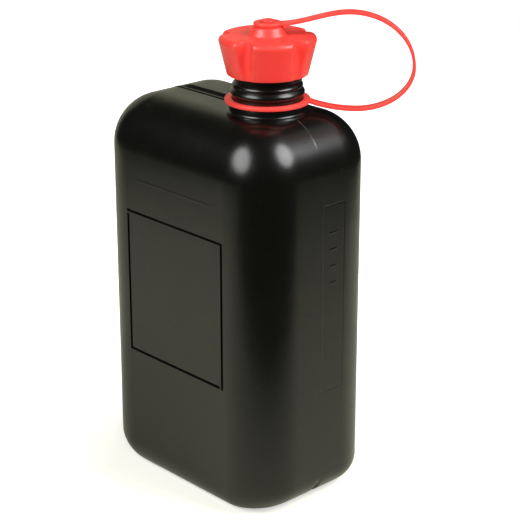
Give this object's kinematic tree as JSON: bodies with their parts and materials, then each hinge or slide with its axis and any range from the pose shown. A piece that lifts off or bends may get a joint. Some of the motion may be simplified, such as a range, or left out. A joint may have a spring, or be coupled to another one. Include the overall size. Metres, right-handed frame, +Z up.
{
  "type": "fuel can",
  "caption": "Small upright plastic fuel can with a rounded slab body, a lobed screw cap on a short neck near one end, and a looped strap that keeps the cap with the can.",
  "frame": {"origin": "centre of the base, on the surface the can stands on", "axes": "+X along the body's width towards the end the neck is near, -Y out of the label face, +Z up along the neck"},
  "size_m": [0.1479, 0.0998, 0.2659],
  "materials": {
    "can_plastic": "satin black blow-moulded polyethylene",
    "cap_plastic": "bright red injection-moulded polyethylene, semi-gloss",
    "seal_rubber": "dark fuel-proof rubber",
    "strap_plastic": "bright red flexible polyethylene, semi-gloss"
  },
  "bodies": {
    "can": {"can_body": "can_plastic"},
    "tether": {"retaining_strap": "strap_plastic"},
    "cap": {"screw_cap": "cap_plastic", "cap_seal": "seal_rubber"}
  },
  "joints": [
    {"name": "cap_rise", "type": "slide", "parent": "can", "child": "tether", "axis": [0, 0, 1], "range_m": [0, 0.02], "deforming": ["retaining_strap"]},
    {"name": "cap_turn", "type": "hinge", "parent": "tether", "child": "cap", "pos_m": [0.0248, 0, 0.2434], "axis": [0, 0, 1], "range_deg": [0, 1440]}
  ],
  "couplings": [
    {"joint": "cap_turn", "follows": "cap_rise", "rad_per_m": 1256.6}
  ]
}
